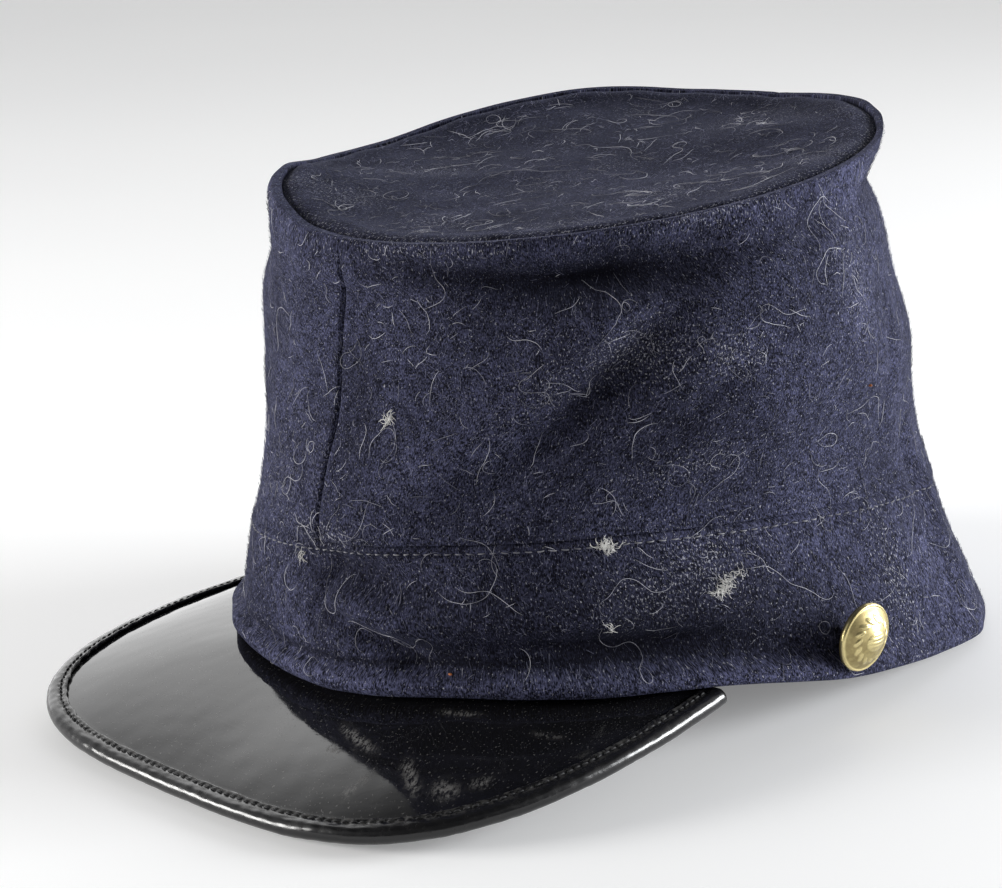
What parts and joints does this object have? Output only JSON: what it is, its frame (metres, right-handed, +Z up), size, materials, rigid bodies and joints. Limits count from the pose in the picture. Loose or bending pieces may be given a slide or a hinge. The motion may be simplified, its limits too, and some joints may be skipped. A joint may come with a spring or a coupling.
{
  "type": "kepi cap",
  "caption": "Soft dark wool forage cap with a flat sunken crown, a stitched band, a bound leather peak and domed brass side buttons.",
  "frame": {"origin": "middle of the cap's footprint, on the surface that it rests on", "axes": "+Z up as the cap rests, -Y toward the peak, +X toward the wearer's left side"},
  "size_m": [0.1742, 0.2374, 0.1284],
  "materials": {
    "wool": "felted navy wool, matt, with light fibres and lint",
    "patent_leather": "glossy black patent leather with fine scuffs",
    "binding_leather": "satin black leather strip, stitched",
    "button_brass": "stamped brass, lightly tarnished"
  },
  "bodies": {
    "root": {"crown_top": "wool", "body_left": "wool", "body_right": "wool", "band": "wool", "peak": "patent_leather", "peak_binding": "binding_leather", "side_button_left": "button_brass", "side_button_right": "button_brass"}
  },
  "joints": []
}
